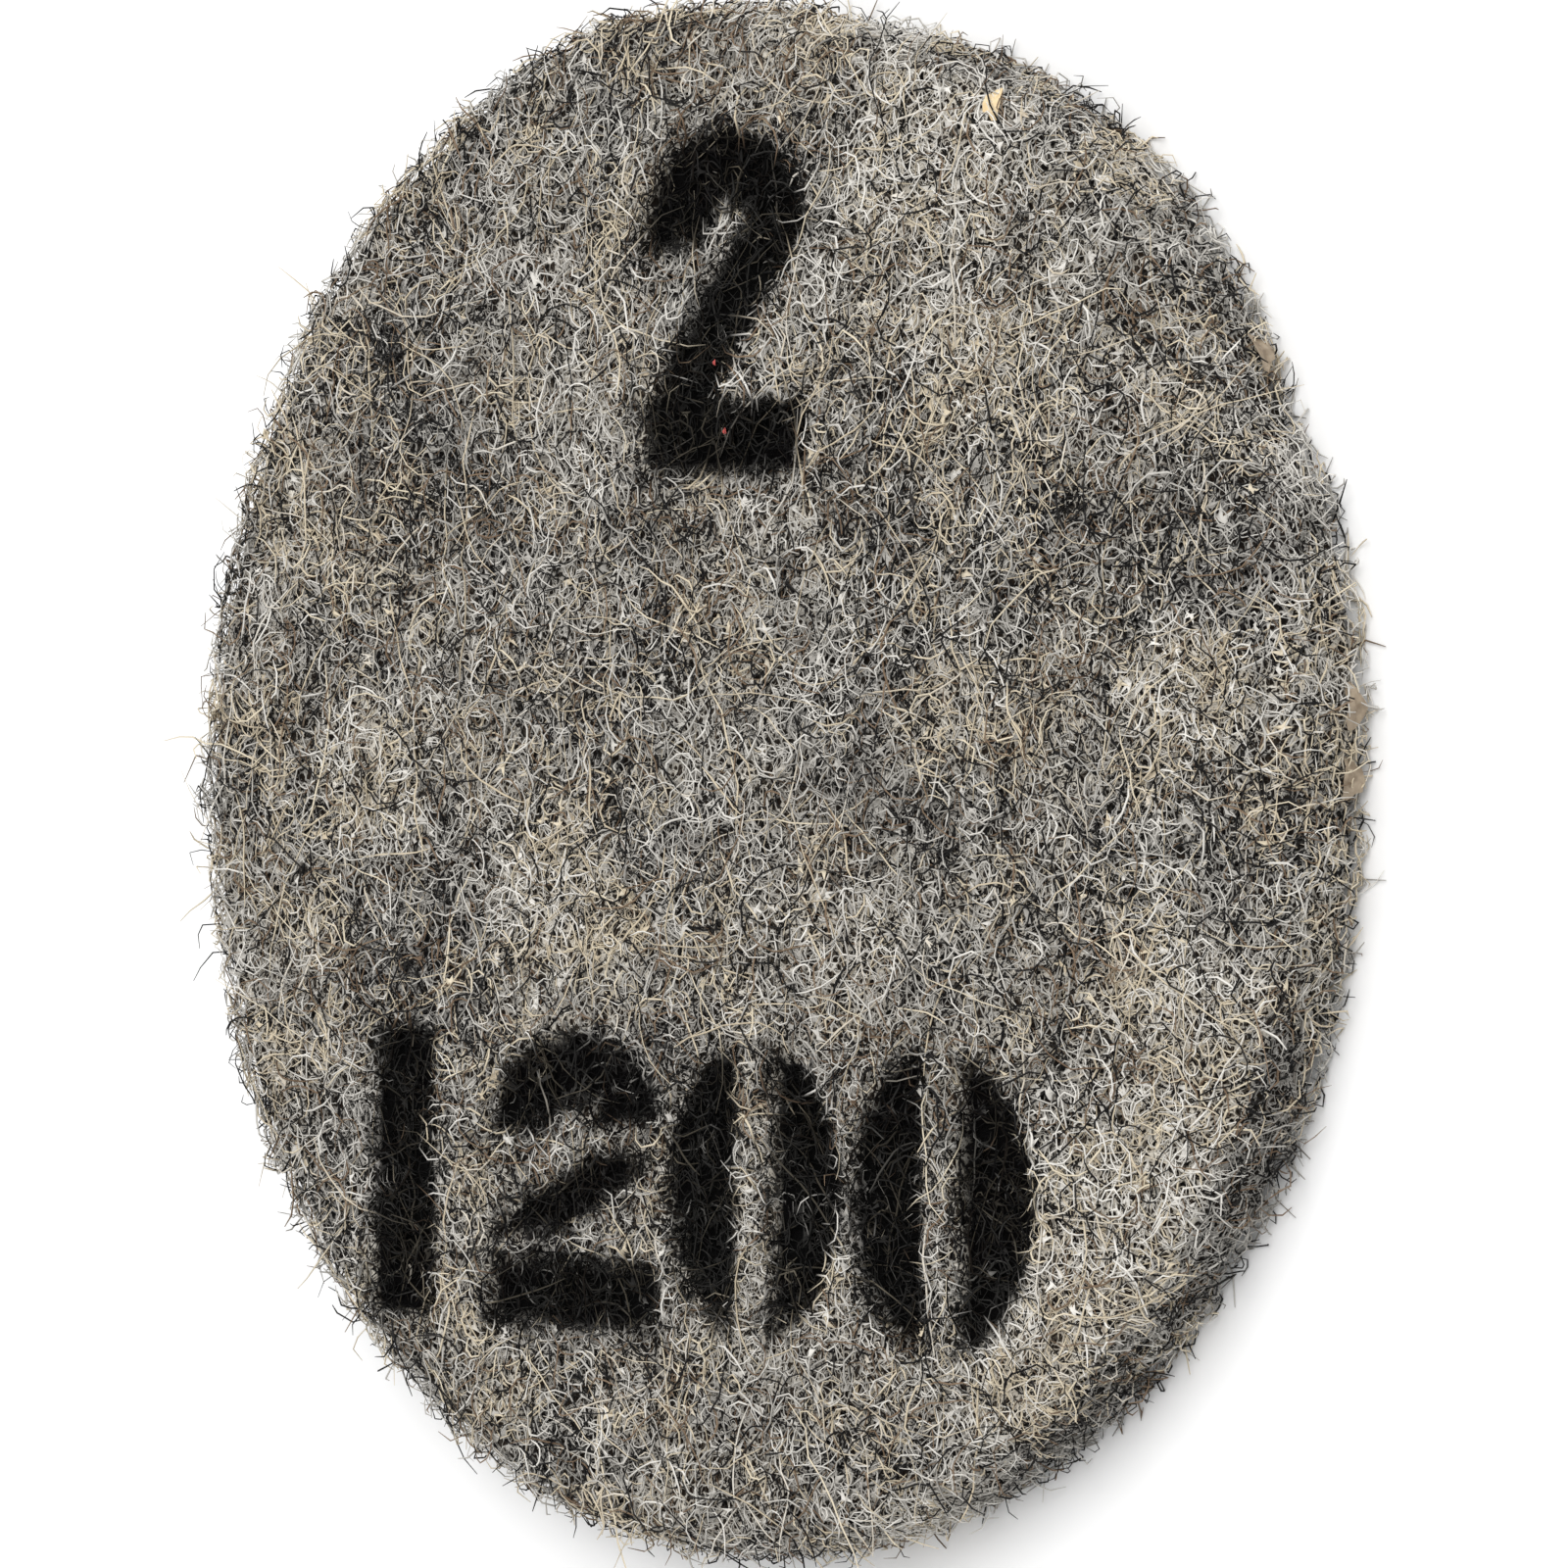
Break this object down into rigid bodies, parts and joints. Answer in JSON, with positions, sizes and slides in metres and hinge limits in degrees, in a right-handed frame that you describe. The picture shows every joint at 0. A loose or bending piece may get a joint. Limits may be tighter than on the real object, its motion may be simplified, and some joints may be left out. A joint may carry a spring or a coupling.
{
  "type": "non-woven abrasive disc",
  "caption": "Round pad of bonded hair and abrasive grain with a flat back face and plain stencilled figures on its working face.",
  "frame": {"origin": "centre of the flat back face", "axes": "+Z out of the working face, +Y up the page for the figures, +X along their line of reading"},
  "size_m": [0.0753, 0.0746, 0.0057],
  "materials": {
    "hair_web": "matt tangle of bonded grey, straw and black hair",
    "stencil_ink": "matt black ink that has soaked into the nap",
    "resin_film": "thin cloudy films of binder between the hairs"
  },
  "bodies": {
    "root": {"abrasive_disc": "hair_web"}
  },
  "joints": []
}
